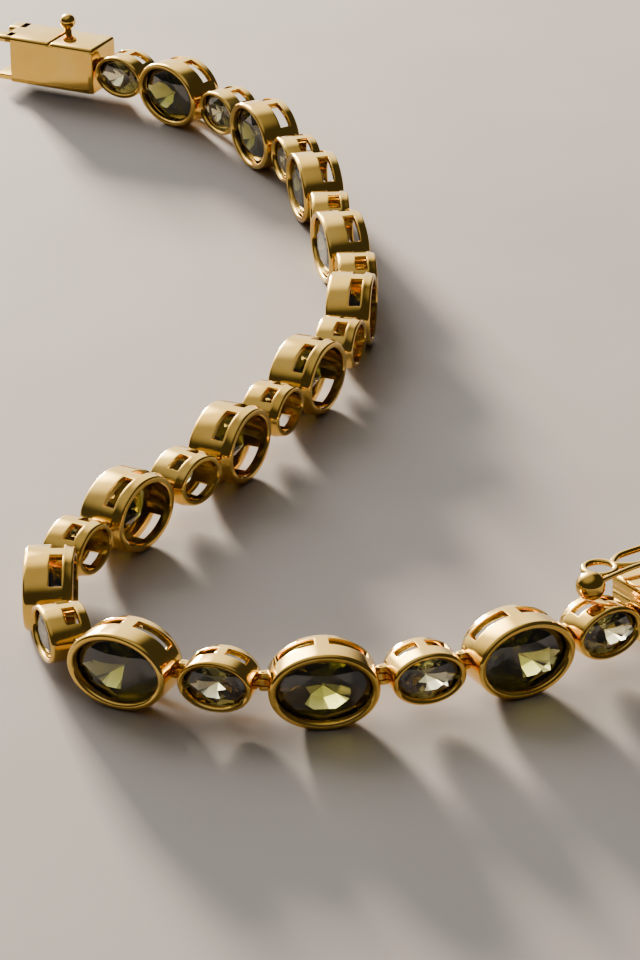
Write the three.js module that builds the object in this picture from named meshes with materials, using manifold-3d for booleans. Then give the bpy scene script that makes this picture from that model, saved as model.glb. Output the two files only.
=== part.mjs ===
// A tennis bracelet lying open on its edge. Oval bezel settings, alternately small and large, hold
// faceted oval stones and are hinged to each other by upright pins. One end carries the clasp's box,
// the other its spring tongue with a thumb lever, and a figure-8 safety catch.
// Millimetres, +Z up. In a piece's own frame X runs along the chain, +Y is the way its stone faces
// and Z is the oval's short way, with the hinge line at Y = 0 and mid-height at Z = 0.
import * as THREE from 'three';
import { mergeVertices } from 'three/addons/utils/BufferGeometryUtils.js';
import { ConvexGeometry } from 'three/addons/geometries/ConvexGeometry.js';
import Module from 'manifold-3d';

const wasm = await Module();
wasm.setup();

// Settings, large and small: the oval's length and height, and how far the lip stands in front of the
// hinge line. Their backs are flush, the same distance behind it.
const LARGE_LENGTH = 7.4;
const LARGE_HEIGHT = 5.55;
const LARGE_FRONT = 2.35;
const SMALL_LENGTH = 5.2;
const SMALL_HEIGHT = 3.75;
const SMALL_FRONT = 1.95;
const SETTING_BACK = 1.1;
const LARGE_SIDES = 16;
const SMALL_SIDES = 12;

// The cup's wall: the lip folded over the stone, its rounding, the wall at the back, and how much the
// rail behind the windows draws in, at the oval's ends and at its sides, so that neighbours can fold
// towards the wrist.
const LARGE_LIP = 0.56;
const SMALL_LIP = 0.44;
const LARGE_WALL = 0.5;
const SMALL_WALL = 0.42;
const LIP_ROUND_IN = 0.2;
const LIP_ROUND_DEEP = 0.3;
const LARGE_DRAW_END = 0.33;
const SMALL_DRAW_END = 0.26;
const DRAW_SIDE = 0.1;

// Gallery windows: a rail behind them, their width, the bar left between each pair, and the oval's
// angle where they stop.
const RAIL = 0.76;
const WINDOW = 0.9;
const LARGE_BAR = 0.9;
const SMALL_BAR = 0.56;
const LARGE_WINDOW_END_DEG = 33.75;
const SMALL_WINDOW_END_DEG = 45;

// Stones: girdle behind the lip's face, girdle under the lip, clearance all round, crown and pavilion.
const LARGE_GIRDLE_DROP = 0.75;
const SMALL_GIRDLE_DROP = 0.58;
const LARGE_CROWN = 0.55;
const SMALL_CROWN = 0.4;
const LARGE_PAVILION = 2.0;
const SMALL_PAVILION = 1.3;
const UNDER_LIP = 0.14;
const STONE_CLEAR = 0.07;
const SEAT_DROP = 0.25;
const SEAT_IN = 0.04;

// Rings of a cut stone, front to back. deep: share of the crown (positive) or of the pavilion
// (negative); wide: share of the girdle; corners: corners in the ring, or 'sides' for as many as the
// setting has; turn: share of a corner's step.
const STONE_RINGS = [
  { name: 'table', deep: 1, wide: 0.58, corners: 8, turn: 0.5 },
  { name: 'girdle', deep: 0, wide: 1, corners: 'sides', turn: 0.5 },
  { name: 'lower_half', deep: -0.55, wide: 0.5, corners: 8, turn: 0 },
  { name: 'culet', deep: -1, wide: 0, corners: 1, turn: 0 },
];

// Hinges: the gap between neighbours, the pin, the knuckle round it, and the plates' thickness.
const HINGE_GAP = 0.4;
const PIN_R = 0.14;
const PIN_SIDES = 5;
const KNUCKLE_R = 0.3;
const KNUCKLE_SIDES = 3;
const EYE_THICK = 0.48;
const FORK_THICK = 0.36;
const HINGE_CLEAR = 0.06;
const ROOT = 0.28;

// The clasp's box: front wall's length, how far its other walls run on past it, height, depth, walls,
// the closed end's thickness, edges taken off, and the groove that parts its top into two lobes.
const BOX_FRONT_LENGTH = 8.4;
const BOX_OVERRUN = 1.6;
const BOX_HEIGHT = 4.2;
const BOX_DEPTH = 4.2;
const BOX_WALL = 0.52;
const BOX_END_WALL = 1.2;
const BOX_TOP_EDGE = 0.5;
const BOX_LOW_EDGE = 0.2;
const LOBE_GROOVE_AT = 4.4;
const LOBE_GROOVE_WIDE = 0.5;
const LOBE_GROOVE_DEEP = 0.28;

// The notch in the top wall's end that the thumb lever's neck slides into, round the neck.
const NOTCH_CLEAR = 0.1;

// The ball-headed post on the box that the safety catch snaps over.
const POST_R = 0.32;
const POST_TALL = 0.9;
const POST_BALL_R = 0.7;
const POST_SIDES = 8;
const POST_BACK = 1.45;

// The tongue's block, and the tube on its top that the safety catch turns in.
const BLOCK_LENGTH = 5;
const BLOCK_HEIGHT = 4.0;
const BLOCK_FRONT = 2.0;
const BLOCK_BACK = 2.4;
const BLOCK_EDGE = 0.35;
const TUBE_R = 0.56;
const TUBE_BORE_R = 0.35;
const TUBE_LENGTH = 1.0;
const TUBE_SIDES = 10;
const TUBE_AT = 4.56;
const TUBE_BACK = 1.6;
const TUBE_RISE = 1.06;
const NECK_THICK = 0.7;

// The safety catch, bent from one wire: its free ring, and the loop between the ring and the tube.
const SAFETY_WIRE_R = 0.24;
const SAFETY_RING_R = 1.08;
const SAFETY_LOOP_LENGTH = 4.97;
const SAFETY_LOOP_HALF = 0.95;
const WIRE_SIDES = 6;
const RING_STEPS = 14;
const LOOP_STEPS = 24;

// One side of the catch's loop, from the ring to the middle of the bar in the tube. back: share of the
// loop's length; side: share of its half width.
const SAFETY_LOOP = [
  { back: 0, side: 0.05 },
  { back: 0.12, side: 0.6 },
  { back: 0.32, side: 1 },
  { back: 0.92, side: 1 },
  { back: 0.99, side: 0.86 },
  { back: 1, side: 0.65 },
  { back: 1, side: 0 },
];

// The tongue: a strip folded back on itself, and the thumb lever that its free end carries.
const LEAF_THICK = 0.3;
const LEAF_WIDE = 2.4;
const LEAF_OUT = 4;
const LEAF_ROOT = 1.3;
const LEAF_LOW = 0.65;
const LEAF_SPREAD = 1.15;
const LEAF_CLEAR = 0.06;
const LEVER_STANDOFF = 0.55;
const LEVER_WIDE = 0.7;
const LEVER_Y = 0.1;
const LEVER_RISE = 1.4;
const LEVER_FALL = 0.38;
const LEVER_R = 0.18;
const LEVER_REACH = 3.3;
const LEVER_BALL_R = 1.02;
const LEVER_SIDES = 6;
const LEVER_STEPS = 3;
const BALL_SIDES = 12;

// Finish of the two materials, as the photo shows them.
const GOLD = { color: '#d6a552', roughness: 0.16, metalness: 1 };
const STONE = { color: '#59651c', roughness: 0.04, metalness: 0 };

// The chain's route on the table, from the tongue's end: each setting's heading in degrees, small and
// large by turns, and last the box's own.
const HEADINGS = [
  212.9, 207.7, 198.7, 184.1, 161.9, 152.5, 108.9, 89.1, 62.0, 56.4, 53.8, 63.8, 64.9,
  65.1, 75.1, 83.5, 93.5, 102.2, 92.9, 102.4, 107.7, 115.4, 125.4, 132.6, 142.6, 152.7,
];

const KINDS = {
  large: {
    sides: LARGE_SIDES, length: LARGE_LENGTH, height: LARGE_HEIGHT, front: LARGE_FRONT,
    lip: LARGE_LIP, wall: LARGE_WALL, drawEnd: LARGE_DRAW_END, bar: LARGE_BAR,
    windowEnd: LARGE_WINDOW_END_DEG, girdleDrop: LARGE_GIRDLE_DROP,
    crown: LARGE_CROWN, pavilion: LARGE_PAVILION,
  },
  small: {
    sides: SMALL_SIDES, length: SMALL_LENGTH, height: SMALL_HEIGHT, front: SMALL_FRONT,
    lip: SMALL_LIP, wall: SMALL_WALL, drawEnd: SMALL_DRAW_END, bar: SMALL_BAR,
    windowEnd: SMALL_WINDOW_END_DEG, girdleDrop: SMALL_GIRDLE_DROP,
    crown: SMALL_CROWN, pavilion: SMALL_PAVILION,
  },
};

const DEG = Math.PI / 180;
const PAST = 0.4; // how far a cutting shape runs past the face it cuts
const WELD = 1e-4; // corners closer than this are one
const ROUND_SHARE = 0.3; // where the middle corner of a rounded edge stands, as a share of its size

// Helpers: solids from meshes, blocks, and rings that follow the oval.

function solid(geometry) {
  const g = geometry.clone();
  g.deleteAttribute('normal');
  g.deleteAttribute('uv');
  const welded = mergeVertices(g, WELD);
  const p = welded.attributes.position.array;
  let tri = welded.index ? Array.from(welded.index.array) : [...Array(p.length / 3).keys()];
  let volume = 0;
  const at = (i) => new THREE.Vector3(p[3 * i], p[3 * i + 1], p[3 * i + 2]);
  for (let i = 0; i < tri.length; i += 3) {
    volume += at(tri[i]).dot(at(tri[i + 1]).cross(at(tri[i + 2])));
  }
  if (volume < 0) tri = tri.map((v, i) => (i % 3 === 1 ? tri[i + 1] : i % 3 === 2 ? tri[i - 1] : v));
  tri = tri.filter((v, i) => {
    const f = i - (i % 3);
    return tri[f] !== tri[f + 1] && tri[f + 1] !== tri[f + 2] && tri[f] !== tri[f + 2];
  });
  const mesh = new wasm.Mesh({
    numProp: 3, vertProperties: Float32Array.from(p), triVerts: Uint32Array.from(tri),
  });
  return new wasm.Manifold(mesh);
}

function geometryOf(manifold) {
  const m = manifold.getMesh();
  const g = new THREE.BufferGeometry();
  const stride = m.numProp;
  const points = new Float32Array((m.vertProperties.length / stride) * 3);
  for (let i = 0; i < points.length / 3; i += 1) {
    for (let k = 0; k < 3; k += 1) points[3 * i + k] = m.vertProperties[stride * i + k];
  }
  g.setAttribute('position', new THREE.BufferAttribute(points, 3));
  g.setIndex(new THREE.BufferAttribute(Uint32Array.from(m.triVerts), 1));
  return g;
}

function block(x0, x1, y0, y1, z0, z1) {
  const g = new THREE.BoxGeometry(x1 - x0, y1 - y0, z1 - z0);
  return solid(g.translate((x0 + x1) / 2, (y0 + y1) / 2, (z0 + z1) / 2));
}

// A point of the oval moved square to its edge; inward is positive. The corners stand outside the
// true oval so that the flats between them lie on it.
function ovalPoint(kind, angle, inward) {
  const out = 1 / Math.cos(Math.PI / kind.sides);
  const a = kind.length / 2;
  const b = kind.height / 2;
  const n = new THREE.Vector2(Math.cos(angle) / a, Math.sin(angle) / b).normalize();
  return new THREE.Vector2(
    (a * Math.cos(angle) - inward * n.x) * out,
    (b * Math.sin(angle) - inward * n.y) * out,
  );
}

// Turns a closed profile of {inward, y} round the oval, over all of it or from one angle to another.
function ovalRing(kind, profile, from = null, to = null, steps = kind.sides) {
  const spine = kind.length; // longer than any inward distance, so the lathe's radii stay positive
  const closed = [...profile, profile[0]];
  const points = closed.map((q) => new THREE.Vector2(spine - q.inward, q.y));
  const whole = from === null;
  const start = whole ? Math.PI / kind.sides : from;
  const g = new THREE.LatheGeometry(points, steps, start, whole ? 2 * Math.PI : to - from);
  const p = g.attributes.position;
  for (let i = 0; i < p.count; i += 1) {
    const angle = Math.atan2(p.getX(i), p.getZ(i));
    const q = closed[i % closed.length];
    const inward = q.draw ? q.inward + q.draw(angle) : q.inward;
    const o = ovalPoint(kind, angle, inward);
    p.setXYZ(i, o.x, q.y, o.y);
  }
  return g;
}

// A part ring with its two ends closed by flat fans, for cutting windows.
function ovalSector(kind, profile, from, to, steps) {
  const g = ovalRing(kind, profile, from, to, steps).toNonIndexed();
  const p = Array.from(g.attributes.position.array);
  const end = (angle, flip) => {
    const ring = profile.map((q) => {
      const o = ovalPoint(kind, angle, q.inward);
      return [o.x, q.y, o.y];
    });
    for (let i = 1; i < ring.length - 1; i += 1) {
      const tri = flip ? [ring[0], ring[i + 1], ring[i]] : [ring[0], ring[i], ring[i + 1]];
      for (const v of tri) p.push(...v);
    }
  };
  end(from, false);
  end(to, true);
  const out = new THREE.BufferGeometry();
  out.setAttribute('position', new THREE.BufferAttribute(new Float32Array(p), 3));
  return solid(out);
}

// A hinge plate lying in X and Y: a rounded end about the pin, and a straight root running to `toX`.
function hingePlate(pinX, toX, thick, midZ, holeR = 0) {
  const way = Math.sign(toX - pinX);
  const shape = new THREE.Shape();
  shape.moveTo(toX, KNUCKLE_R);
  for (let i = 0; i <= KNUCKLE_SIDES; i += 1) {
    const a = Math.PI / 2 + (Math.PI * i) / KNUCKLE_SIDES;
    shape.lineTo(pinX + way * KNUCKLE_R * Math.cos(a), KNUCKLE_R * Math.sin(a));
  }
  shape.lineTo(toX, -KNUCKLE_R);
  shape.closePath();
  if (holeR > 0) {
    const hole = new THREE.Path();
    for (let i = 0; i <= PIN_SIDES; i += 1) {
      const a = (2 * Math.PI * i) / PIN_SIDES;
      const x = pinX + holeR * Math.cos(a);
      const y = holeR * Math.sin(a);
      if (i === 0) hole.moveTo(x, y);
      else hole.lineTo(x, y);
    }
    shape.holes.push(hole);
  }
  const g = new THREE.ExtrudeGeometry(shape, { depth: thick, bevelEnabled: false, steps: 1 });
  return solid(g.translate(0, 0, midZ - thick / 2));
}

const FORK_MID = EYE_THICK / 2 + HINGE_CLEAR + FORK_THICK / 2;
const HINGE_HALF = FORK_MID + FORK_THICK / 2;
const HOLE_R = (PIN_R + HINGE_CLEAR) / Math.cos(Math.PI / PIN_SIDES);
const POCKET_DEEP = KNUCKLE_R + HINGE_CLEAR - HINGE_GAP / 2;

// The pocket in a wall whose face is at `faceX` and whose metal lies towards `way`.
function hingePocket(faceX, way) {
  const high = HINGE_HALF + HINGE_CLEAR;
  const deep = faceX + way * POCKET_DEEP;
  const past = faceX - way * PAST;
  const half = KNUCKLE_R + 2 * HINGE_CLEAR;
  return block(Math.min(deep, past), Math.max(deep, past), -half, half, -high, high);
}

// The fork with its fixed pin at `pinX`, its metal lying towards `way`.
function hingeFork(pinX, way) {
  const toX = pinX + way * (HINGE_GAP / 2 + POCKET_DEEP + ROOT);
  const pin = new THREE.CylinderGeometry(PIN_R, PIN_R, 2 * FORK_MID, PIN_SIDES).rotateX(Math.PI / 2);
  return hingePlate(pinX, toX, FORK_THICK, FORK_MID)
    .add(hingePlate(pinX, toX, FORK_THICK, -FORK_MID))
    .add(solid(pin.translate(pinX, 0, 0)));
}

// The eye that turns on the next piece's pin.
function hingeEye(pinX, way) {
  const toX = pinX + way * (HINGE_GAP / 2 + POCKET_DEEP + ROOT);
  return hingePlate(pinX, toX, EYE_THICK, 0, HOLE_R);
}

// The settings and their stones.

function girdleY(kind) {
  return kind.front - kind.girdleDrop;
}

function settingSolid(kind) {
  const draw = (angle) => {
    const c = Math.cos(angle) ** 2;
    return kind.drawEnd * c + DRAW_SIDE * (1 - c);
  };
  const groove = kind.lip - UNDER_LIP - STONE_CLEAR;
  const back = -SETTING_BACK;
  const windowBack = back + RAIL;
  const profile = [
    { inward: LIP_ROUND_IN, y: kind.front },
    { inward: 0, y: kind.front - LIP_ROUND_DEEP },
    { inward: 0, y: windowBack },
    { inward: 0, y: back, draw },
    { inward: kind.wall, y: back, draw },
    { inward: kind.lip + SEAT_IN, y: girdleY(kind) - SEAT_DROP },
    { inward: groove, y: girdleY(kind) },
    { inward: kind.lip, y: kind.front },
  ];
  let cup = solid(ovalRing(kind, profile));

  const section = [
    { inward: -PAST, y: windowBack },
    { inward: -PAST, y: windowBack + WINDOW },
    { inward: kind.wall + kind.drawEnd + PAST, y: windowBack + WINDOW },
    { inward: kind.wall + kind.drawEnd + PAST, y: windowBack },
  ];
  const from = kind.windowEnd * DEG;
  const steps = Math.round((180 - 2 * kind.windowEnd) / (360 / kind.sides));
  const bar = block(-kind.bar / 2, kind.bar / 2, windowBack - PAST, windowBack + WINDOW + PAST,
    -kind.height, kind.height);
  for (const side of [0, Math.PI]) {
    const sector = ovalSector(kind, section, from + side, Math.PI - from + side, steps);
    cup = cup.subtract(sector.subtract(bar));
  }

  const face = kind.length / 2;
  const pin = face + HINGE_GAP / 2;
  cup = cup.subtract(hingePocket(face, -1)).subtract(hingePocket(-face, 1));
  return cup.add(hingeFork(pin, -1)).add(hingeEye(-pin, 1));
}

function stoneGeometry(kind) {
  const girdleIn = kind.lip - UNDER_LIP;
  const points = [];
  for (const ring of STONE_RINGS) {
    const y = girdleY(kind) + ring.deep * (ring.deep > 0 ? kind.crown : kind.pavilion);
    const corners = ring.corners === 'sides' ? kind.sides : ring.corners;
    for (let i = 0; i < corners; i += 1) {
      const angle = (2 * Math.PI * (i + ring.turn)) / corners;
      const o = ovalPoint(kind, angle, girdleIn).multiplyScalar(ring.wide);
      points.push(new THREE.Vector3(o.x, y, o.y));
    }
  }
  return new ConvexGeometry(points);
}

// The clasp's box end: X runs on from the last pin.

function clippedBar(x0, x1, y0, y1, z0, z1, topEdge, lowEdge) {
  const shape = new THREE.Shape();
  shape.moveTo(y0 + lowEdge, z0);
  shape.lineTo(y1 - lowEdge, z0);
  shape.lineTo(y1, z0 + lowEdge);
  shape.lineTo(y1, z1 - topEdge);
  shape.lineTo(y1 - topEdge * ROUND_SHARE, z1 - topEdge * ROUND_SHARE);
  shape.lineTo(y1 - topEdge, z1);
  shape.lineTo(y0 + topEdge, z1);
  shape.lineTo(y0 + topEdge * ROUND_SHARE, z1 - topEdge * ROUND_SHARE);
  shape.lineTo(y0, z1 - topEdge);
  shape.lineTo(y0, z0 + lowEdge);
  shape.closePath();
  const g = new THREE.ExtrudeGeometry(shape, { depth: x1 - x0, bevelEnabled: false, steps: 1 });
  const turn = new THREE.Matrix4().makeBasis(
    new THREE.Vector3(0, 1, 0), new THREE.Vector3(0, 0, 1), new THREE.Vector3(1, 0, 0),
  );
  return solid(g.applyMatrix4(turn).translate(x0, 0, 0));
}

function boxSolid() {
  const near = HINGE_GAP / 2;
  const frontEnd = near + BOX_FRONT_LENGTH;
  const far = frontEnd + BOX_OVERRUN;
  const h = BOX_HEIGHT / 2;
  const d = BOX_DEPTH / 2;
  let box = clippedBar(near, far, -d, d, -h, h, BOX_TOP_EDGE, BOX_LOW_EDGE);
  const inD = d - BOX_WALL;
  const inH = h - BOX_WALL;
  box = box.subtract(block(near + BOX_END_WALL, far + PAST, -inD, inD, -inH, inH));
  box = box.subtract(block(frontEnd, far + PAST, inD - PAST, d + PAST, -h - PAST, inH));
  const notchDeep = LEVER_STANDOFF + LEAF_THICK / 2 + NOTCH_CLEAR;
  const notchHalf = LEVER_WIDE / 2 + NOTCH_CLEAR;
  box = box.subtract(block(far - notchDeep, far + PAST, LEVER_Y - notchHalf, LEVER_Y + notchHalf,
    inH - PAST, h + PAST));
  const groove = near + LOBE_GROOVE_AT;
  const parting = new THREE.CylinderGeometry(1, 1, BOX_DEPTH + 2 * PAST, 4);
  parting.scale(LOBE_GROOVE_WIDE / 2, 1, LOBE_GROOVE_DEEP).translate(groove, 0, h);
  box = box.subtract(solid(parting));
  const postLow = h - BOX_WALL / 2;
  const postHigh = h + POST_TALL;
  const post = new THREE.CylinderGeometry(POST_R, POST_R, postHigh - postLow, POST_SIDES);
  post.rotateX(Math.PI / 2).translate(groove, -POST_BACK, (postLow + postHigh) / 2);
  const ball = new THREE.SphereGeometry(POST_BALL_R, POST_SIDES, POST_SIDES / 2);
  ball.rotateX(Math.PI / 2).translate(groove, -POST_BACK, postHigh);
  box = box.add(solid(post)).add(solid(ball));
  return box.subtract(hingePocket(near, 1)).add(hingeEye(0, 1));
}

// The clasp's tongue end: X runs back from the first pin, so the block lies at negative X.

const BLOCK_NEAR = -HINGE_GAP / 2;
const BLOCK_FAR = BLOCK_NEAR - BLOCK_LENGTH;
const BLOCK_TOP = BLOCK_HEIGHT / 2;
const TUBE_X = BLOCK_NEAR - TUBE_AT;
const TUBE_Z = BLOCK_TOP + TUBE_RISE;
const LEAF_Z = -LEAF_LOW;

function tongueBlockSolid() {
  let part = clippedBar(BLOCK_FAR, BLOCK_NEAR, -BLOCK_BACK, BLOCK_FRONT, -BLOCK_TOP, BLOCK_TOP,
    BLOCK_EDGE, BLOCK_EDGE);
  const half = LEAF_WIDE / 2 + LEAF_CLEAR;
  part = part.subtract(block(BLOCK_FAR - PAST, BLOCK_FAR + LEAF_ROOT + LEAF_CLEAR, -half, half,
    LEAF_Z - LEAF_THICK / 2 - LEAF_CLEAR, LEAF_Z + LEAF_THICK / 2 + LEAF_CLEAR));
  const tube = new THREE.CylinderGeometry(TUBE_R, TUBE_R, TUBE_LENGTH, TUBE_SIDES);
  const neck = block(TUBE_X - NECK_THICK / 2, TUBE_X + NECK_THICK / 2,
    -TUBE_BACK - TUBE_LENGTH / 2, -TUBE_BACK + TUBE_LENGTH / 2, BLOCK_TOP - BLOCK_EDGE * 2, TUBE_Z);
  const bore = new THREE.CylinderGeometry(TUBE_BORE_R, TUBE_BORE_R, TUBE_LENGTH + 2 * PAST, TUBE_SIDES);
  part = part.add(solid(tube.translate(TUBE_X, -TUBE_BACK, TUBE_Z)).add(neck));
  part = part.subtract(solid(bore.translate(TUBE_X, -TUBE_BACK, TUBE_Z)));
  return part.subtract(hingePocket(BLOCK_NEAR, -1)).add(hingeFork(0, -1));
}

// The folded strip seen from the side, in X and Z, drawn out along Y; then the lever and its ball.
function tongueSpringSolid() {
  const rootX = BLOCK_FAR + LEAF_ROOT;
  const tipX = BLOCK_FAR - LEAF_OUT;
  const neckX = BLOCK_FAR - LEVER_STANDOFF;
  const t = LEAF_THICK / 2;
  const top = LEAF_Z + LEAF_SPREAD;
  const strip = new THREE.Shape();
  strip.moveTo(rootX, LEAF_Z - t);
  strip.lineTo(rootX, LEAF_Z + t);
  strip.lineTo(tipX + 2 * LEAF_THICK, LEAF_Z + t);
  strip.lineTo(neckX + t, top - t);
  strip.lineTo(neckX + t, top + t);
  strip.lineTo(neckX - t, top + t);
  strip.lineTo(tipX + t, LEAF_Z + LEAF_THICK + t);
  strip.lineTo(tipX, LEAF_Z + t);
  strip.lineTo(tipX, LEAF_Z);
  strip.lineTo(tipX + t, LEAF_Z - t);
  strip.closePath();
  const leaf = new THREE.ExtrudeGeometry(strip, { depth: LEAF_WIDE, bevelEnabled: false, steps: 1 });
  leaf.rotateX(Math.PI / 2).translate(0, LEAF_WIDE / 2, 0);
  const leverZ = BLOCK_TOP + LEVER_RISE;
  const neck = block(neckX - t, neckX + t, LEVER_Y - LEVER_WIDE / 2, LEVER_Y + LEVER_WIDE / 2,
    top - t, leverZ + LEVER_R);
  const from = new THREE.Vector3(neckX, LEVER_Y, leverZ);
  const knee = new THREE.Vector3(0, LEVER_Y, leverZ);
  const to = new THREE.Vector3(LEVER_REACH, LEVER_Y, leverZ - LEVER_FALL);
  const run = new THREE.CatmullRomCurve3([from, from.clone().lerp(knee, 0.5), knee, to]);
  const rod = new THREE.ExtrudeGeometry(
    new THREE.Shape(new THREE.Path().absarc(0, 0, LEVER_R, 0, 2 * Math.PI).getPoints(LEVER_SIDES)
      .slice(0, LEVER_SIDES)),
    { steps: LEVER_STEPS, extrudePath: run },
  );
  const ball = new THREE.SphereGeometry(LEVER_BALL_R, BALL_SIDES, BALL_SIDES / 2).rotateX(Math.PI / 2);
  return solid(leaf).add(neck).add(solid(rod)).add(solid(ball.translate(to.x, to.y, to.z)));
}

// The safety catch lies open, back over the first setting, and its loop's bar runs through the tube.
function safetySolid() {
  const waist = TUBE_X + SAFETY_LOOP_LENGTH;
  const ringMid = waist + SAFETY_RING_R;
  const ring = new THREE.TorusGeometry(SAFETY_RING_R, SAFETY_WIRE_R, WIRE_SIDES, RING_STEPS);
  const half = SAFETY_LOOP.map((q) => (
    new THREE.Vector3(waist - q.back * SAFETY_LOOP_LENGTH, q.side * SAFETY_LOOP_HALF, 0)));
  const other = half.slice(0, -1).reverse().map((v) => new THREE.Vector3(v.x, -v.y, 0));
  const path = new THREE.CatmullRomCurve3([...half, ...other], false, 'centripetal');
  const wire = new THREE.Shape(
    new THREE.Path().absarc(0, 0, SAFETY_WIRE_R, 0, 2 * Math.PI).getPoints(WIRE_SIDES)
      .slice(0, WIRE_SIDES),
  );
  const loop = new THREE.ExtrudeGeometry(wire, { steps: LOOP_STEPS, extrudePath: path });
  return solid(ring.translate(ringMid, 0, 0)).add(solid(loop)).translate([0, -TUBE_BACK, TUBE_Z]);
}

// The assembly, laid out from the first pin along the route.

const group = new THREE.Group();
group.name = 'tennis_bracelet';

function place(name, geometry, x, y, heading, finish) {
  const z = LARGE_HEIGHT / 2;
  geometry.rotateZ(heading * DEG).translate(x, y, z);
  const material = new THREE.MeshStandardMaterial({ ...finish, name: `${name}_finish` });
  const mesh = new THREE.Mesh(geometry, material);
  mesh.name = name;
  group.add(mesh);
}

const settings = { large: settingSolid(KINDS.large), small: settingSolid(KINDS.small) };
const counts = { large: 0, small: 0 };
let pinX = 0;
let pinY = 0;
place('tongue_block', geometryOf(tongueBlockSolid()), pinX, pinY, HEADINGS[0], GOLD);
place('tongue_spring', geometryOf(tongueSpringSolid()), pinX, pinY, HEADINGS[0], GOLD);
place('safety_catch', geometryOf(safetySolid()), pinX, pinY, HEADINGS[0], GOLD);
HEADINGS.slice(0, -1).forEach((heading, i) => {
  const size = i % 2 === 0 ? 'small' : 'large';
  const kind = KINDS[size];
  counts[size] += 1;
  const label = `${size}_${String(counts[size]).padStart(2, '0')}`;
  const pitch = kind.length + HINGE_GAP;
  const dx = Math.cos(heading * DEG) * pitch;
  const dy = Math.sin(heading * DEG) * pitch;
  const midX = pinX + dx / 2;
  const midY = pinY + dy / 2;
  place(`setting_${label}`, geometryOf(settings[size]), midX, midY, heading, GOLD);
  place(`stone_${label}`, mergeVertices(stoneGeometry(kind).deleteAttribute('normal'), WELD),
    midX, midY, heading, STONE);
  pinX += dx;
  pinY += dy;
});
place('clasp_box', geometryOf(boxSolid()), pinX, pinY, HEADINGS[HEADINGS.length - 1], GOLD);

// The origin is put at the middle of the whole thing's footprint, on the surface that it lies on.
const bounds = new THREE.Box3().setFromObject(group);
const middle = bounds.getCenter(new THREE.Vector3());
for (const mesh of group.children) mesh.geometry.translate(-middle.x, -middle.y, -bounds.min.z);

export default group;
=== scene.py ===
import bpy
import bmesh
import math
from mathutils import Matrix, Vector


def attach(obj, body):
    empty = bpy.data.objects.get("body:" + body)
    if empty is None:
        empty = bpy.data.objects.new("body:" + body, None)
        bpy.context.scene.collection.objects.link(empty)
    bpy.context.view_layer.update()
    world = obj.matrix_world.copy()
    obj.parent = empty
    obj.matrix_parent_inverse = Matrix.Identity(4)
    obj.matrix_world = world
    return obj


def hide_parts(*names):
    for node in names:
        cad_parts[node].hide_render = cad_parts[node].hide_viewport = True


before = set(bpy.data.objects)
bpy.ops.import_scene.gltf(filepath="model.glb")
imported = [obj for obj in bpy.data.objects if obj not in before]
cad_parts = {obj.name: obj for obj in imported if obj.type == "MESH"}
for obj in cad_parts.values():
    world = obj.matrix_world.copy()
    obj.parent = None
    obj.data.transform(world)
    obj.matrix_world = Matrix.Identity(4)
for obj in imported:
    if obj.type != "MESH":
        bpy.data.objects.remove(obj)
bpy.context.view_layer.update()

# The settings: 25 oval cups cast in gilt silver, small and large by turns, a lip folded over the stone,
# the gallery pierced by two windows above and two below, the rail behind drawn in. At one end a fork is
# soldered on, at the other an eye that turns on the next fork's pin. Lengths are in metres.
MM = 0.001
HEADINGS = [
    212.9, 207.7, 198.7, 184.1, 161.9, 152.5, 108.9, 89.1, 62.0, 56.4, 53.8, 63.8, 64.9,
    65.1, 75.1, 83.5, 93.5, 102.2, 92.9, 102.4, 107.7, 115.4, 125.4, 132.6, 142.6, 152.7,
]
FIRST_PIN = Vector((20.283, -52.7027, 2.775)) * MM
HINGE_GAP = 0.4 * MM
LARGE = {
    "length": 7.4 * MM, "height": 5.55 * MM, "front": 2.35 * MM, "lip": 0.56 * MM,
    "wall": 0.5 * MM, "draw_end": 0.33 * MM, "bar": 0.9 * MM, "window_end": 33.75,
    "girdle_drop": 0.75 * MM, "crown": 0.55 * MM, "pavilion": 2.0 * MM,
}
SMALL = {
    "length": 5.2 * MM, "height": 3.75 * MM, "front": 1.95 * MM, "lip": 0.44 * MM,
    "wall": 0.42 * MM, "draw_end": 0.26 * MM, "bar": 0.56 * MM, "window_end": 45.0,
    "girdle_drop": 0.58 * MM, "crown": 0.4 * MM, "pavilion": 1.3 * MM,
}
KINDS = {"large": LARGE, "small": SMALL}
CUP_TURNS = 96
LIP_STEPS = 6
BACK_STEPS = 4
SETTING_BACK = 1.1 * MM
RAIL = 0.76 * MM
WINDOW = 0.9 * MM
RIM = 0.16 * MM
DRAW_SIDE = 0.1 * MM
DRAW_POWER = 1.3
RAIL_SHARES = (0.35, 0.6, 0.8)
RIM_DRAW = 0.12
BACK_DRAW = 0.92
BACK_EASE = 0.16 * MM
BACK_CHAMFER = 0.1 * MM
LIP_SHOULDER = 0.3 * MM
LIP_CREST = 0.45
UNDER_LIP = 0.14 * MM
STONE_CLEAR = 0.07 * MM
SEAT_DROP = 0.25 * MM
SEAT_IN = 0.04 * MM
OVER_GIRDLE = 0.2 * MM
OVER_GIRDLE_IN = 0.03 * MM
EASE = 0.05 * MM
MERGE_WITHIN = 0.0002 * MM
LEVEL_WITHIN = 0.001 * MM
# The lip's inner side, up to its crest, in mm: how far inside the lip's width, how far below the front.
LIP_INSIDE = [(0.02, 0.27), (0.04, 0.17), (0.1, 0.08), (0.19, 0.025)]
PIN_R = 0.14 * MM
PIN_PROUD = 0.04 * MM
PIN_SIDES = 20
KNUCKLE_R = 0.3 * MM
KNUCKLE_STEPS = 12
EYE_THICK = 0.48 * MM
FORK_THICK = 0.36 * MM
HINGE_CLEAR = 0.06 * MM
HINGE_ROOT = 0.62 * MM
FORK_MID = EYE_THICK / 2 + HINGE_CLEAR + FORK_THICK / 2


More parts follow.
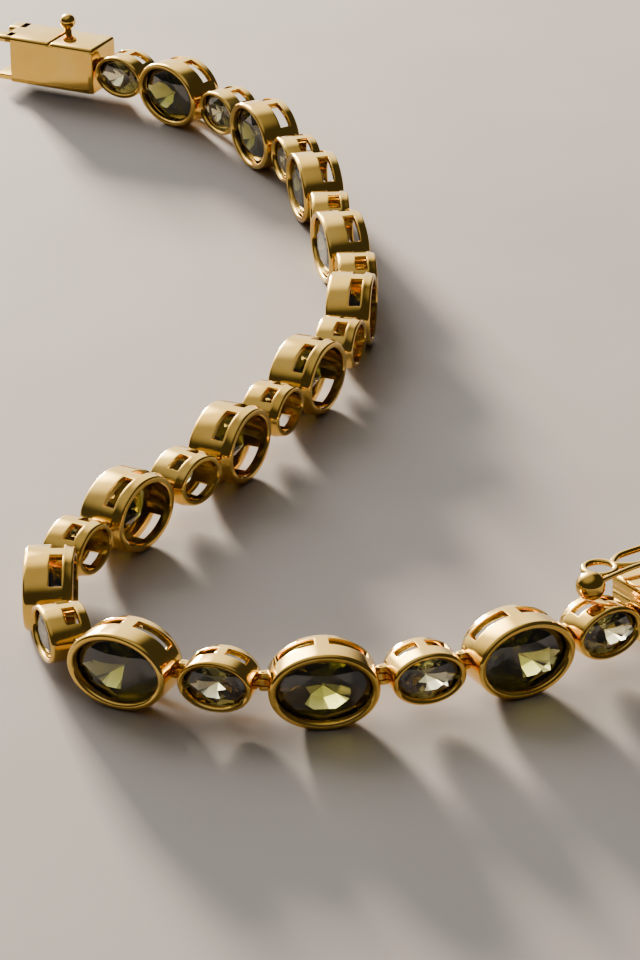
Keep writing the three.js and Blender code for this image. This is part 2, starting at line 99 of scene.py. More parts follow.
def seat(at, heading):
    """The place of a piece whose own X runs along the chain."""
    return Matrix.Translation(at) @ Matrix.Rotation(math.radians(heading), 4, "Z")


def along(heading, distance):
    turn = math.radians(heading)
    return Vector((math.cos(turn), math.sin(turn), 0.0)) * distance


def linear(hex_colour):
    """An sRGB hex colour as linear RGBA."""
    parts = [int(hex_colour[i:i + 2], 16) / 255 for i in (1, 3, 5)]
    parts = [c / 12.92 if c <= 0.04045 else ((c + 0.055) / 1.055) ** 2.4 for c in parts]
    return (*parts, 1.0)


def add_node(tree, kind, inputs=None, **settings):
    """One shader node, with its properties, its constants and its links from other nodes' outputs."""
    node = tree.nodes.new(kind)
    for name, value in settings.items():
        setattr(node, name, value)
    for name, value in (inputs or {}).items():
        if isinstance(value, bpy.types.NodeSocket):
            tree.links.new(value, node.inputs[name])
        else:
            node.inputs[name].default_value = value
    return node


def new_material(name):
    material = bpy.data.materials.new(name)
    material.use_nodes = True
    material.node_tree.nodes.clear()
    return material, material.node_tree


def ramp(tree, factor, stops):
    """A colour ramp of (position, hex colour) stops."""
    node = add_node(tree, "ShaderNodeValToRGB", {"Fac": factor})
    elements = node.color_ramp.elements
    elements[0].position, elements[0].color = stops[0][0], linear(stops[0][1])
    elements[1].position, elements[1].color = stops[-1][0], linear(stops[-1][1])
    for position, colour in stops[1:-1]:
        elements.new(position).color = linear(colour)
    return node.outputs["Color"]


def polished_gold():
    """Gilt silver, cast and polished by hand: a warm yellow mirror with faint patches of softer
    polish, and hair-fine wheel marks that spread the highlights a little."""
    patch_size = 3.0 * MM
    mark_size = 0.35 * MM
    mark_depth = 0.02 * MM
    material, tree = new_material("yellow gold plate, cast and hand polished")
    place = add_node(tree, "ShaderNodeTexCoord").outputs["Object"]
    patch = add_node(tree, "ShaderNodeTexNoise",
                     {"Vector": place, "Scale": 1 / patch_size, "Detail": 3.0, "Roughness": 0.55})
    colour = ramp(tree, patch.outputs["Fac"],
                  [(0.3, "#f3c45a"), (0.5, "#f6cb64"), (0.72, "#f9d374")])
    rough = add_node(tree, "ShaderNodeMapRange",
                     {"Value": patch.outputs["Fac"], "From Min": 0.3, "From Max": 0.75,
                      "To Min": 0.07, "To Max": 0.15})
    marks = add_node(tree, "ShaderNodeTexNoise",
                     {"Vector": place, "Scale": 1 / mark_size, "Detail": 4.0, "Roughness": 0.6})
    bump = add_node(tree, "ShaderNodeBump",
                    {"Height": marks.outputs["Fac"], "Strength": 0.1, "Distance": mark_depth})
    shader = add_node(tree, "ShaderNodeBsdfPrincipled",
                      {"Base Color": colour, "Roughness": rough.outputs["Result"],
                       "Normal": bump.outputs["Normal"], "Metallic": 1.0})
    add_node(tree, "ShaderNodeOutputMaterial", {"Surface": shader.outputs["BSDF"]})
    return material


def finish_piece(mesh_work, name, material, node, place, body="bracelet",
                 smooth_angle=32.0):
    """Turns the worked mesh into the named piece in its place, standing for its CAD node."""
    bmesh.ops.remove_doubles(mesh_work, verts=mesh_work.verts, dist=MERGE_WITHIN)
    bmesh.ops.recalc_face_normals(mesh_work, faces=mesh_work.faces)
    bmesh.ops.transform(mesh_work, matrix=place, verts=mesh_work.verts)
    for face in mesh_work.faces:
        face.smooth = smooth_angle > 0.0
    for edge in mesh_work.edges:
        sharp = not edge.is_manifold or edge.calc_face_angle(0.0) > math.radians(smooth_angle)
        edge.smooth = not sharp
    mesh = bpy.data.meshes.new(name)
    mesh_work.to_mesh(mesh)
    mesh.materials.append(material)
    piece = bpy.data.objects.new(name, mesh)
    bpy.context.scene.collection.objects.link(piece)
    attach(piece, body)
    if node is not None:
        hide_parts(node)


def round_edges(work, edges, offset, segments=2, clamp=True):
    bmesh.ops.bevel(work, geom=edges, offset=offset, offset_type="OFFSET", segments=segments,
                    profile=0.5, affect="EDGES", material=-1, clamp_overlap=clamp)


def spin_section(work, points, steps):
    """Turns a closed section of (radius, y) points about the Y axis."""
    verts = [work.verts.new((radius, y, 0.0)) for radius, y in points]
    edges = [work.edges.new((verts[i], verts[(i + 1) % len(verts)])) for i in range(len(verts))]
    bmesh.ops.spin(work, geom=verts + edges, cent=(0, 0, 0), axis=(0, 1, 0), dvec=(0, 0, 0),
                   angle=math.tau, steps=steps, use_merge=True)


def oval_point(kind, angle, inward):
    """A point of the oval, moved square to its edge."""
    a = kind["length"] / 2
    b = kind["height"] / 2
    normal = Vector((math.cos(angle) / a, math.sin(angle) / b)).normalized()
    return Vector((a * math.cos(angle), b * math.sin(angle))) - normal * inward


def cup_profile(kind):
    """The wall's closed section as (inward, y, share of the draw), from the lip's crest outward."""
    front = kind["front"]
    lip = kind["lip"]
    back = -SETTING_BACK
    low = back + RAIL
    high = low + WINDOW
    wall = kind["wall"]
    girdle = front - kind["girdle_drop"]
    crest = LIP_CREST * lip
    rows = []
    for t in range(LIP_STEPS + 1):
        turn = math.radians(90 * t / LIP_STEPS)
        rows.append((crest * (1 - math.sin(turn)), front - LIP_SHOULDER * (1 - math.cos(turn)), 0.0))
    rows += [(0.0, high + RIM, 0.0), (0.0, high, 0.0), (0.0, low, 0.0), (0.0, low - RIM, RIM_DRAW)]
    for share in RAIL_SHARES:
        rows.append((0.0, low - (RAIL - RIM) * share, share ** DRAW_POWER))
    for t in range(BACK_STEPS + 1):
        turn = math.radians(90 * t / BACK_STEPS)
        rows.append((BACK_EASE * (1 - math.cos(turn)), back + BACK_EASE * (1 - math.sin(turn)),
                     BACK_DRAW + (1 - BACK_DRAW) * math.sin(turn)))
    rows += [
        (wall - BACK_CHAMFER, back, 1.0), (wall, back + BACK_CHAMFER, 1.0),
        (wall, low - RIM, 0.3), (wall, low, 0.2), (wall, high, 0.1),
        (lip + SEAT_IN, girdle - SEAT_DROP, 0.0), (lip - UNDER_LIP - STONE_CLEAR, girdle, 0.0),
        (lip - OVER_GIRDLE_IN, girdle + OVER_GIRDLE, 0.0),
    ]
    rows += [(lip - inside * MM, front - deep * MM, 0.0) for inside, deep in LIP_INSIDE]
    return rows


def pierce_windows(work, kind):
    """Opens the gallery: the wall's inner and outer faces between the two bars and the oval's ends go,
    and the rims are joined through the wall, then eased with a fine bevel."""
    low = -SETTING_BACK + RAIL
    high = low + WINDOW
    half_bar = kind["bar"] / 2
    end = math.radians(kind["window_end"])
    for side in (1, -1):
        for hand in (1, -1):
            doomed = []
            for face in work.faces:
                mid = face.calc_center_median()
                if not low < mid.y < high or mid.z * side < 0 or mid.x * hand < half_bar:
                    continue
                lean = math.atan2(abs(mid.z) / kind["height"], abs(mid.x) / kind["length"])
                if lean > end:
                    doomed.append(face)
            bmesh.ops.delete(work, geom=doomed, context="FACES")
            rim = [edge for edge in work.edges if edge.is_boundary]
            bmesh.ops.bridge_loops(work, edges=rim)
            corners = [edge for edge in rim if edge.is_valid]
            bmesh.ops.recalc_face_normals(work, faces=work.faces)
            round_edges(work, corners, EASE)


def cup_mesh(kind):
    """Spins the section, lays it on the oval, and pierces the four windows."""
    work = bmesh.new()
    profile = cup_profile(kind)
    reach = kind["length"]
    spin_section(work, [(reach - inward, y) for inward, y, _ in profile], CUP_TURNS)
    draws = {(round((reach - inward) / MM, 4), round(y / MM, 4)): share
             for inward, y, share in profile}
    for vert in work.verts:
        radius = math.hypot(vert.co.x, vert.co.z)
        angle = math.atan2(-vert.co.z, vert.co.x)
        share = draws[min(draws, key=lambda k: abs(k[0] - radius / MM) + abs(k[1] - vert.co.y / MM))]
        end = math.cos(angle) ** 2
        draw = share * (kind["draw_end"] * end + DRAW_SIDE * (1 - end))
        flat = oval_point(kind, angle, reach - radius + draw)
        vert.co = Vector((flat.x, vert.co.y, flat.y))
    pierce_windows(work, kind)
    return work


def hinge_plate(work, pin_x, way, thick, mid_z):
    """A rounded plate about the pin, its root running back into the wall. way is +1 or -1."""
    knuckle = []
    for i in range(KNUCKLE_STEPS + 1):
        turn = math.pi / 2 + math.pi * i / KNUCKLE_STEPS
        knuckle.append((pin_x + way * KNUCKLE_R * math.cos(turn), KNUCKLE_R * math.sin(turn)))
    root = pin_x + way * HINGE_ROOT
    outline = [(root, KNUCKLE_R)] + knuckle + [(root, -KNUCKLE_R)]
    verts = [work.verts.new((x, y, mid_z - thick / 2)) for x, y in outline]
    face = work.faces.new(verts)
    grown = bmesh.ops.extrude_face_region(work, geom=[face])
    moved = [g for g in grown["geom"] if isinstance(g, bmesh.types.BMVert)]
    bmesh.ops.translate(work, vec=(0, 0, thick), verts=moved)
    shell = {f for v in verts + moved for f in v.link_faces}
    rims = {e for f in shell for e in f.edges
            if abs(e.verts[0].co.z - e.verts[1].co.z) < LEVEL_WITHIN}
    round_edges(work, list(rims), EASE, clamp=False)


def add_fork(work, pin_x, way):
    hinge_plate(work, pin_x, way, FORK_THICK, FORK_MID)
    hinge_plate(work, pin_x, way, FORK_THICK, -FORK_MID)
    made = bmesh.ops.create_cone(work, cap_ends=True, segments=PIN_SIDES, radius1=PIN_R,
                                 radius2=PIN_R, depth=2 * (FORK_MID + FORK_THICK / 2 + PIN_PROUD))
    bmesh.ops.translate(work, vec=(pin_x, 0, 0), verts=made["verts"])


def add_eye(work, pin_x, way):
    hinge_plate(work, pin_x, way, EYE_THICK, 0.0)


settings_row = []
pin_at = FIRST_PIN.copy()
for i, heading in enumerate(HEADINGS[:-1]):
    size = "small" if i % 2 == 0 else "large"
    step = KINDS[size]["length"] + HINGE_GAP
    label = f"{size}_{i // 2 + 1:02d}"
    settings_row.append((label, size, seat(pin_at + along(heading, step / 2), heading)))
    pin_at = pin_at + along(heading, step)
TONGUE_SEAT = seat(FIRST_PIN, HEADINGS[0])
BOX_SEAT = seat(pin_at, HEADINGS[-1])

gold = polished_gold()
setting_meshes = {}
for size, kind in KINDS.items():
    work = cup_mesh(kind)
    pin_x = kind["length"] / 2 + HINGE_GAP / 2
    add_fork(work, pin_x, -1)
    add_eye(work, -pin_x, 1)
    setting_meshes[size] = work

for label, size, place in settings_row:
    work = setting_meshes[size].copy()
    finish_piece(work, f"setting.{label}", gold, f"setting_{label}", place)
    work.free()
for work in setting_meshes.values():
    work.free()

# The stones: oval brilliants of olive green, clear as glass, each held at its girdle under the lip. A
# table with star, bezel and half facets stands in front, mains and half facets close the pavilion.
FACETS = 8
GIRDLE_HALF = 0.03 * MM
FLAT_WITHIN_DEG = 1.0
STONE_IOR = 1.95
# Rings of corners, front to back: crown or pavilion, share of its depth, share of the girdle's width,
# number of corners, turn in steps between two corners.
STONE_RINGS = [
    ("crown", 1.0, 0.56, FACETS, 0.5), ("crown", 0.62, 0.80, FACETS, 0.0),
    ("crown", 0.0, 1.0, 4 * FACETS, 0.0), ("pavilion", 0.0, 1.0, 4 * FACETS, 0.0),
    ("pavilion", 0.72, 0.36, FACETS, 0.0), ("pavilion", 1.0, 0.04, FACETS, 0.5),
]


def olive_stone(name, deep, pale, body, density):
    """Zircon, cut and polished: clear and strongly refracting, its olive green deepening almost to
    black where light goes a long way through, with a faint veil that breaks the colour up."""
    veil_size = 1.6 * MM
    material, tree = new_material(name)
    place = add_node(tree, "ShaderNodeTexCoord").outputs["Object"]
    veil = add_node(tree, "ShaderNodeTexNoise",
                    {"Vector": place, "Scale": 1 / veil_size, "Detail": 2.0})
    colour = ramp(tree, veil.outputs["Fac"], [(0.35, deep), (0.65, pale)])
    shader = add_node(tree, "ShaderNodeBsdfPrincipled",
                      {"Base Color": colour, "Roughness": 0.0, "IOR": STONE_IOR,
                       "Transmission Weight": 1.0})
    depth = add_node(tree, "ShaderNodeVolumeAbsorption",
                     {"Color": linear(body), "Density": density})
    add_node(tree, "ShaderNodeOutputMaterial",
             {"Surface": shader.outputs["BSDF"], "Volume": depth.outputs["Volume"]})
    return material


def stone_mesh(kind):
    """The stone as the hull of its rings of corners, with flat facets."""
    work = bmesh.new()
    girdle_in = kind["lip"] - UNDER_LIP
    girdle_y = kind["front"] - kind["girdle_drop"]
    for part, deep, wide, corners, turn in STONE_RINGS:
        if part == "crown":
            y = girdle_y + GIRDLE_HALF + deep * (kind["crown"] - GIRDLE_HALF)
        else:
            y = girdle_y - GIRDLE_HALF - deep * (kind["pavilion"] - GIRDLE_HALF)
        for i in range(corners):
            angle = math.tau * (i + turn) / corners
            flat = oval_point(kind, angle, girdle_in) * wide
            work.verts.new((flat.x, y, flat.y))
    bmesh.ops.convex_hull(work, input=work.verts, use_existing_faces=False)
    loose = [v for v in work.verts if not v.link_faces]
    bmesh.ops.delete(work, geom=loose, context="VERTS")
    bmesh.ops.dissolve_limit(work, angle_limit=math.radians(FLAT_WITHIN_DEG), verts=work.verts,
                             edges=work.edges)
    return work


stone_materials = {
    "large": olive_stone("large olive zircons, oval brilliant cut", "#f0f2d2", "#f8f9e6",
                         "#cdcb52", 1350.0),
    "small": olive_stone("small pale zircons, oval brilliant cut", "#f4f4e6", "#fbfbf4",
                         "#d6d3a0", 950.0),
}
stone_meshes = {size: stone_mesh(kind) for size, kind in KINDS.items()}
for label, size, place in settings_row:
    work = stone_meshes[size].copy()
    finish_piece(work, f"stone.{label}", stone_materials[size], f"stone_{label}", place,
                 smooth_angle=0.0)
    work.free()
for work in stone_meshes.values():
    work.free()

# The clasp's box, folded and soldered from plate: closed at the hinge end, open at the mouth, its
# front wall cut back for the tongue and its top notched for the lever's neck. A groove parts the top
# into two polished lobes.
BOX_NEAR = HINGE_GAP / 2
BOX_FRONT_END = BOX_NEAR + 8.4 * MM
BOX_FAR = BOX_FRONT_END + 1.6 * MM
BOX_HALF_HEIGHT = 2.1 * MM
BOX_HALF_DEPTH = 2.1 * MM
BOX_WALL = 0.52 * MM
BOX_END_START = BOX_NEAR + 0.03 * MM
BOX_END_WALL = 1.2 * MM
BOX_END_IN = 0.02 * MM
BOX_END_ROUND = 0.15 * MM
BOX_LOBE_ROUND = 0.3 * MM
BOX_LOBE_LAP = 0.1 * MM
BOX_PLATE_ROUND = 0.12 * MM
BOX_PLATE_START = BOX_NEAR + 0.4 * MM
BOX_PLATE_LAP = 0.25 * MM
BOX_MOUTH_SIDE = 0.3 * MM
BOX_GROOVE_AT = BOX_NEAR + 4.4 * MM
NOTCH_DEEP = 0.8 * MM
NOTCH_LAP = 1.2 * MM
NOTCH_LOW = -0.35 * MM
NOTCH_HIGH = 0.55 * MM


def add_block(work, low, high, edge=0.0, segments=4):
    """A block between two corners, its edges rounded."""
    made = bmesh.ops.create_cube(work, size=1.0)
    bmesh.ops.scale(work, vec=Vector(high) - Vector(low), verts=made["verts"])
    bmesh.ops.translate(work, vec=(Vector(high) + Vector(low)) / 2, verts=made["verts"])
    if edge > 0.0:
        edges = {e for v in made["verts"] for e in v.link_edges}
        round_edges(work, list(edges), edge, segments)


def box_mesh():
    """Two rounded lobes on top, plate walls below, and an eye at the hinge end."""
    work = bmesh.new()
    top = BOX_HALF_HEIGHT
    d = BOX_HALF_DEPTH
    inner_top = top - BOX_WALL
    lobe_low = inner_top - BOX_LOBE_LAP
    lobe_end = BOX_FAR - NOTCH_DEEP
    plate_top = top - BOX_PLATE_LAP
    add_block(work, (BOX_NEAR, -d, lobe_low), (BOX_GROOVE_AT, d, top), BOX_LOBE_ROUND)
    add_block(work, (BOX_GROOVE_AT, -d, lobe_low), (lobe_end, d, top), BOX_LOBE_ROUND)
    for low_y, high_y in ((-d, NOTCH_LOW), (NOTCH_HIGH, d)):
        add_block(work, (lobe_end - NOTCH_LAP, low_y, lobe_low), (BOX_FAR, high_y, top),
                  BOX_LOBE_ROUND)
    add_block(work, (BOX_END_START, -d + BOX_END_IN, -top + BOX_END_IN),
              (BOX_NEAR + BOX_END_WALL, d - BOX_END_IN, top - BOX_LOBE_ROUND), BOX_END_ROUND)
    add_block(work, (BOX_PLATE_START, -d, -top), (BOX_FAR, d - BOX_MOUTH_SIDE, -inner_top),
              BOX_PLATE_ROUND)
    add_block(work, (BOX_PLATE_START, -d, -top), (BOX_FRONT_END, d, -inner_top), BOX_PLATE_ROUND)
    add_block(work, (BOX_PLATE_START, -d, -top), (BOX_FAR, -d + BOX_WALL, plate_top),
              BOX_PLATE_ROUND)
    add_block(work, (BOX_PLATE_START, d - BOX_WALL, -top), (BOX_FRONT_END, d, plate_top),
              BOX_PLATE_ROUND)
    add_eye(work, 0.0, 1)
    return work


work = box_mesh()
finish_piece(work, "clasp.box", gold, "clasp_box", BOX_SEAT)
work.free()

# The post: a short gilt silver peg soldered on the box's top where the groove runs, with a ball head
# that the safety catch snaps over.
POST_R = 0.32 * MM
POST_BACK = 1.45 * MM
POST_TALL = 0.9 * MM
POST_ROOT = 0.4 * MM
POST_SIDES = 32
POST_BALL_R = 0.7 * MM
BALL_TURNS = 40
BALL_RINGS = 24


def add_ball(work, at, radius):
    made = bmesh.ops.create_uvsphere(work, u_segments=BALL_TURNS, v_segments=BALL_RINGS,
                                     radius=radius)
    bmesh.ops.translate(work, vec=at, verts=made["verts"])


def post_mesh():
    work = bmesh.new()
    low = BOX_HALF_HEIGHT - POST_ROOT
    high = BOX_HALF_HEIGHT + POST_TALL
    made = bmesh.ops.create_cone(work, cap_ends=True, segments=POST_SIDES, radius1=POST_R,
                                 radius2=POST_R, depth=high - low)
    bmesh.ops.translate(work, vec=(BOX_GROOVE_AT, -POST_BACK, (low + high) / 2),
                        verts=made["verts"])
    add_ball(work, (BOX_GROOVE_AT, -POST_BACK, high), POST_BALL_R)
    return work


work = post_mesh()
finish_piece(work, "clasp.post", gold, None, BOX_SEAT)
work.free()

# The tongue's block: a solid end piece built up from an upper and a lower half soldered together, the
# joint still showing as a fine dark line round it. A forked hinge holds the first setting.
BLOCK_NEAR = -HINGE_GAP / 2
BLOCK_FAR = BLOCK_NEAR - 5.0 * MM
BLOCK_TOP = 2.0 * MM
BLOCK_FRONT = 2.0 * MM
BLOCK_BACK = 2.4 * MM
BLOCK_ROUND = 0.32 * MM
BLOCK_SEAM_Z = 1.0 * MM
BLOCK_SEAM = 0.12 * MM
BLOCK_SEAM_DEEP = 0.12 * MM
BLOCK_CORE_LOW = -1.0 * MM
BLOCK_CORE_HIGH = 1.5 * MM


def block_mesh():
    """The two halves, and the core inside that closes the joint behind its groove."""
    work = bmesh.new()
    add_block(work, (BLOCK_FAR, -BLOCK_BACK, BLOCK_SEAM_Z + BLOCK_SEAM / 2),
              (BLOCK_NEAR, BLOCK_FRONT, BLOCK_TOP), BLOCK_ROUND)
    add_block(work, (BLOCK_FAR, -BLOCK_BACK, -BLOCK_TOP),
              (BLOCK_NEAR, BLOCK_FRONT, BLOCK_SEAM_Z - BLOCK_SEAM / 2), BLOCK_ROUND)
    add_block(work,
              (BLOCK_FAR + BLOCK_SEAM_DEEP, -BLOCK_BACK + BLOCK_SEAM_DEEP, BLOCK_CORE_LOW),
              (BLOCK_NEAR - BLOCK_SEAM_DEEP, BLOCK_FRONT - BLOCK_SEAM_DEEP, BLOCK_CORE_HIGH))
    add_fork(work, 0.0, -1)
    return work


work = block_mesh()
finish_piece(work, "clasp.block", gold, "tongue_block", TONGUE_SEAT)
work.free()

# The tube: a short length of drawn gilt tubing, soldered over the block's back edge on a low neck.
# The safety catch turns in its bore.
TUBE_R = 0.56 * MM
TUBE_BORE_R = 0.35 * MM
TUBE_LENGTH = 1.0 * MM
TUBE_X = BLOCK_NEAR - 4.56 * MM
TUBE_BACK = 1.6 * MM
TUBE_Z = BLOCK_TOP + 1.06 * MM
TUBE_EASE = 0.06 * MM
TUBE_EASE_MID = 0.018 * MM
TUBE_TURNS = 40
NECK_HALF = 0.35 * MM
NECK_IN = 0.03 * MM
NECK_ROOT = 0.4 * MM
NECK_UNDER_BORE = 0.08 * MM
NECK_ROUND = 0.1 * MM


def tube_mesh():
    work = bmesh.new()
    half = TUBE_LENGTH / 2
    mid = half - 0.3 * TUBE_EASE
    section = [
        (TUBE_R, half - TUBE_EASE), (TUBE_R - TUBE_EASE_MID, mid), (TUBE_R - TUBE_EASE, half),
        (TUBE_BORE_R, half), (TUBE_BORE_R, -half),
        (TUBE_R - TUBE_EASE, -half), (TUBE_R - TUBE_EASE_MID, -mid), (TUBE_R, -half + TUBE_EASE),
    ]
    spin_section(work, section, TUBE_TURNS)
    bmesh.ops.translate(work, vec=(TUBE_X, -TUBE_BACK, TUBE_Z), verts=work.verts)
    neck_top = TUBE_Z - TUBE_BORE_R - NECK_UNDER_BORE
    add_block(work, (TUBE_X - NECK_HALF, -TUBE_BACK - half + NECK_IN, BLOCK_TOP - NECK_ROOT),
              (TUBE_X + NECK_HALF, -TUBE_BACK + half - NECK_IN, neck_top), NECK_ROUND)
    return work


work = tube_mesh()
finish_piece(work, "clasp.tube", gold, None, TONGUE_SEAT)
work.free()

# The tongue: a springy strip folded back on itself at its nose, its root held in the block. The free
# upper leaf carries the neck of the thumb lever that frees it from the box.
LEAF_THICK = 0.3 * MM
LEAF_WIDE = 2.4 * MM
LEAF_ROOT_X = BLOCK_FAR + 1.3 * MM
LEAF_TIP_X = BLOCK_FAR - 4.0 * MM
LEAF_Z = -0.65 * MM
LEAF_SPREAD = 1.15 * MM
NOSE_LIFT = 0.02 * MM
NOSE_BEND = 1.15
NOSE_FOLD = 2.3
NOSE_STEPS = 8
LEVER_X = BLOCK_FAR - 0.55 * MM
LEVER_Y = 0.1 * MM
LEVER_Z = BLOCK_TOP + 1.4 * MM
LEVER_R = 0.18 * MM
LEVER_NECK_WIDE = 0.7 * MM
LEVER_NECK_ROUND = 0.08 * MM


def leaf_mesh():
    """The strip's section in X and Z, offset from its middle line, drawn out across its width."""
    work = bmesh.new()
    t = LEAF_THICK / 2
    nose_x = LEAF_TIP_X + 2 * t
    nose_z = LEAF_Z + t + NOSE_LIFT
    middle = [Vector((LEAF_ROOT_X, LEAF_Z)), Vector((nose_x, LEAF_Z))]
    for i in range(1, NOSE_STEPS):
        turn = -math.pi / 2 - math.pi * i / NOSE_STEPS
        middle.append(Vector((nose_x + t * NOSE_BEND * math.cos(turn),
                              nose_z + NOSE_LIFT + t * NOSE_BEND * math.sin(turn))))
    top = LEAF_Z + LEAF_SPREAD
    middle += [Vector((nose_x, LEAF_Z + NOSE_FOLD * t)), Vector((LEVER_X + t, top))]
    outer = []
    inner = []
    for i, point in enumerate(middle):
        before = middle[max(i - 1, 0)]
        after = middle[min(i + 1, len(middle) - 1)]
        run = (after - before).normalized()
        side = Vector((-run.y, run.x))
        outer.append(point + side * t)
        inner.append(point - side * t)
    outline = outer + inner[::-1]
    verts = [work.verts.new((p.x, -LEAF_WIDE / 2, p.y)) for p in outline]
    face = work.faces.new(verts)
    grown = bmesh.ops.extrude_face_region(work, geom=[face])
    moved = [g for g in grown["geom"] if isinstance(g, bmesh.types.BMVert)]
    bmesh.ops.translate(work, vec=(0, LEAF_WIDE, 0), verts=moved)
    rims = [e for e in work.edges if abs(e.verts[0].co.y - e.verts[1].co.y) < LEVEL_WITHIN]
    round_edges(work, rims, EASE)
    add_block(work, (LEVER_X - t, LEVER_Y - LEVER_NECK_WIDE / 2, top - t),
              (LEVER_X + t, LEVER_Y + LEVER_NECK_WIDE / 2, LEVER_Z + LEVER_R), LEVER_NECK_ROUND,
              segments=3)
    return work


work = leaf_mesh()
finish_piece(work, "clasp.tongue", gold, "tongue_spring", TONGUE_SEAT)
work.free()

# The thumb lever: a round rod from the tongue's neck, running over the block and down a little to a
# polished ball that the thumb presses.
LEVER_REACH = 3.3 * MM
LEVER_FALL = 0.38 * MM
LEVER_BALL_R = 1.02 * MM
LEVER_STEPS = 8


def add_wire(work, path, radius, sides=20, closed=False):
    """A round wire along a list of points."""
    rings = []
    count = len(path)
    up = Vector((0.0, 0.0, 1.0))
    for i, point in enumerate(path):
        before = path[i - 1] if closed or i > 0 else path[i]
        after = path[(i + 1) % count] if closed or i < count - 1 else path[i]
        run = (after - before).normalized()
        across = up.cross(run).normalized()
        lift = run.cross(across)
        rings.append([work.verts.new(point + across * radius * math.cos(math.tau * k / sides)
                                     + lift * radius * math.sin(math.tau * k / sides))
                      for k in range(sides)])
    loops = []
    for ring in rings:
        loops.append([work.edges.new((ring[k], ring[(k + 1) % sides])) for k in range(sides)])
    pairs = count if closed else count - 1
    for i in range(pairs):
        bmesh.ops.bridge_loops(work, edges=loops[i] + loops[(i + 1) % count])
    if not closed:
        work.faces.new(rings[0][::-1])
        work.faces.new(rings[-1])


def smooth_path(points, steps):
    """A uniform Catmull-Rom spline through the points."""
    out = []
    for i in range(len(points) - 1):
        p0 = points[max(i - 1, 0)]
        p1 = points[i]
        p2 = points[i + 1]
        p3 = points[min(i + 2, len(points) - 1)]
        for k in range(steps):
            t = k / steps
            out.append(0.5 * (2 * p1 + (p2 - p0) * t + (2 * p0 - 5 * p1 + 4 * p2 - p3) * t ** 2
                              + (3 * p1 - p0 - 3 * p2 + p3) * t ** 3))
    return out + [points[-1]]


work = bmesh.new()
lever_path = smooth_path([
    Vector((LEVER_X, LEVER_Y, LEVER_Z)), Vector((LEVER_X / 2, LEVER_Y, LEVER_Z)),
    Vector((0.0, LEVER_Y, LEVER_Z)), Vector((LEVER_REACH, LEVER_Y, LEVER_Z - LEVER_FALL)),
], LEVER_STEPS)
add_wire(work, lever_path, LEVER_R)
add_ball(work, (LEVER_REACH, LEVER_Y, LEVER_Z - LEVER_FALL), LEVER_BALL_R)
finish_piece(work, "clasp.lever", gold, None, TONGUE_SEAT)
work.free()

# The safety catch: one round wire bent to a figure 8. Its free ring snaps over the box's post; the
# loop's straight bar turns in the block's tube.
SAFETY_WIRE_R = 0.24 * MM
SAFETY_RING_R = 1.08 * MM
SAFETY_RING_STEPS = 48
SAFETY_LOOP_STEPS = 5
SAFETY_LOOP_LENGTH = 4.97 * MM
SAFETY_LOOP_HALF = 0.95 * MM
# Half of the loop, from the ring to the bar: share of its length, share of its half width.
SAFETY_LOOP = [(0, 0.05), (0.12, 0.6), (0.32, 1), (0.92, 1), (0.99, 0.86), (1, 0.65), (1, 0)]


def safety_mesh():
    work = bmesh.new()
    ring_mid = SAFETY_LOOP_LENGTH + SAFETY_RING_R
    ring = []
    for i in range(SAFETY_RING_STEPS):
        turn = math.tau * i / SAFETY_RING_STEPS
        ring.append(Vector((ring_mid + SAFETY_RING_R * math.cos(turn),
                            SAFETY_RING_R * math.sin(turn), 0.0)))
    add_wire(work, ring, SAFETY_WIRE_R, closed=True)
    half = [Vector((SAFETY_LOOP_LENGTH - back * SAFETY_LOOP_LENGTH, side * SAFETY_LOOP_HALF, 0.0))
            for back, side in SAFETY_LOOP]
    other = [Vector((p.x, -p.y, 0.0)) for p in half[:-1]][::-1]
    add_wire(work, smooth_path(half + other, SAFETY_LOOP_STEPS), SAFETY_WIRE_R)
    bmesh.ops.translate(work, vec=(TUBE_X, -TUBE_BACK, TUBE_Z), verts=work.verts)
    return work


work = safety_mesh()
finish_piece(work, "safety.wire", gold, "safety_catch", TONGUE_SEAT, body="safety")
work.free()

# The floor: one plain sheet of matt grey paper lying flat under the bracelet. Its half width is in
# metres.
FLOOR_HALF = 1.2


def studio_paper():
    """Matt studio paper, pressed: an even grey, hardly warm, with the least mottle."""
    mottle_per_metre = 60.0
    material, tree = new_material("warm grey studio paper")
    place = add_node(tree, "ShaderNodeTexCoord").outputs["Object"]
    mottle = add_node(tree, "ShaderNodeTexNoise",
                      {"Vector": place, "Scale": mottle_per_metre, "Detail": 2.0})
    colour = ramp(tree, mottle.outputs["Fac"], [(0.3, "#8d8988"), (0.7, "#938f8e")])
    shader = add_node(tree, "ShaderNodeBsdfPrincipled",
                      {"Base Color": colour, "Roughness": 0.8, "Specular IOR Level": 0.15})
    add_node(tree, "ShaderNodeOutputMaterial", {"Surface": shader.outputs["BSDF"]})
    return material


floor_work = bmesh.new()
bmesh.ops.create_grid(floor_work, x_segments=1, y_segments=1, size=FLOOR_HALF)
floor_mesh = bpy.data.meshes.new("studio_floor")
floor_work.to_mesh(floor_mesh)
floor_work.free()
floor_mesh.materials.append(studio_paper())
floor = bpy.data.objects.new("studio_floor", floor_mesh)
bpy.context.scene.collection.objects.link(floor)

# The key light: a small warm lamp, low behind the bracelet on the left, which throws the long soft
# shadows. Its place and sizes are in metres.
KEY_AT = Vector((-0.21, 0.58, 0.1))
KEY_WIDTH = 0.08
KEY_HEIGHT = 0.06
KEY_WATTS = 36.0
key_data = bpy.data.lights.new("key", "AREA")
key_data.shape = "RECTANGLE"
key_data.size = KEY_WIDTH
key_data.size_y = KEY_HEIGHT
key_data.energy = KEY_WATTS
key_data.color = linear("#ffecd4")[:3]
key = bpy.data.objects.new("key", key_data)
bpy.context.scene.collection.objects.link(key)
key.location = KEY_AT
key.rotation_euler = (-KEY_AT).to_track_quat("-Z", "Y").to_euler()

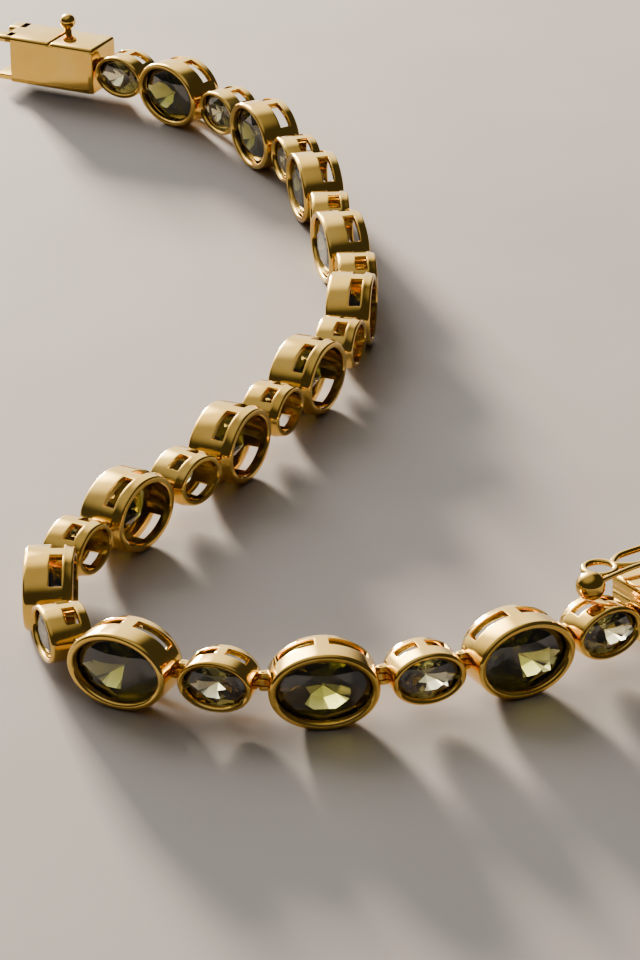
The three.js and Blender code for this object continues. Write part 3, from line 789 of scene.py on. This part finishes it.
# The room: dim all round, brightening smoothly towards a wide window behind on the left, its bright
# pane, which gives the gold its hottest crests, and the ceiling.
ROOM_BASE = 0.05
# Where each glow lies, the cosines from its middle at which it starts and is full, and its strength.
ROOM_GLOWS = [
    ((-0.35, 0.86, 0.42), 0.6, 0.97, 2.2),
    ((-0.42, 0.8, 0.5), 0.93, 0.995, 15.0),
    ((-0.3, 0.0, 1.0), 0.6, 1.0, 0.45),
]


def glow(tree, direction, towards, start, full, strength):
    """Light that grows smoothly from nothing at start to its whole strength at full."""
    dot = add_node(tree, "ShaderNodeVectorMath",
                   {0: direction, 1: Vector(towards).normalized()}, operation="DOT_PRODUCT")
    grow = add_node(tree, "ShaderNodeMapRange",
                    {"Value": dot.outputs["Value"], "From Min": start, "From Max": full,
                     "To Min": 0.0, "To Max": strength}, interpolation_type="SMOOTHERSTEP")
    return grow.outputs["Result"]


world = bpy.data.worlds.new("soft room with a pale window behind")
world.use_nodes = True
room = world.node_tree
room.nodes.clear()
room_way = add_node(room, "ShaderNodeTexCoord").outputs["Generated"]
level = ROOM_BASE
for towards, start, full, strength in ROOM_GLOWS:
    part = glow(room, room_way, towards, start, full, strength)
    level = add_node(room, "ShaderNodeMath", {0: part, 1: level}, operation="ADD").outputs["Value"]
sky = add_node(room, "ShaderNodeBackground", {"Color": linear("#fbf4ea"), "Strength": level})
add_node(room, "ShaderNodeOutputWorld", {"Surface": sky.outputs["Background"]})
bpy.context.scene.world = world

# The camera, where the photograph was taken from: a long lens, a third of a metre away, looking down.
CAMERA_AT = Vector((-0.421, -345.67, 148.58)) * MM
LOOK_DOWN_DEG = 24.819
ROLL_DEG = -1.018
LENS_MM = 181.49
SENSOR_MM = 36.0
CLIP_NEAR = 0.01
CLIP_FAR = 20.0
camera_data = bpy.data.cameras.new("camera")
camera_data.sensor_fit = "AUTO"
camera_data.sensor_width = SENSOR_MM
camera_data.lens = LENS_MM
camera_data.clip_start = CLIP_NEAR
camera_data.clip_end = CLIP_FAR
camera = bpy.data.objects.new("camera", camera_data)
bpy.context.scene.collection.objects.link(camera)
down = math.radians(LOOK_DOWN_DEG)
right = Vector((1.0, 0.0, 0.0))
up = Vector((0.0, math.sin(down), math.cos(down)))
roll = math.radians(ROLL_DEG)
right_rolled = right * math.cos(roll) + up * math.sin(roll)
up_rolled = up * math.cos(roll) - right * math.sin(roll)
axes = Matrix((right_rolled, up_rolled, right_rolled.cross(up_rolled))).transposed()
camera.matrix_world = Matrix.Translation(CAMERA_AT) @ axes.to_4x4()
bpy.context.scene.camera = camera
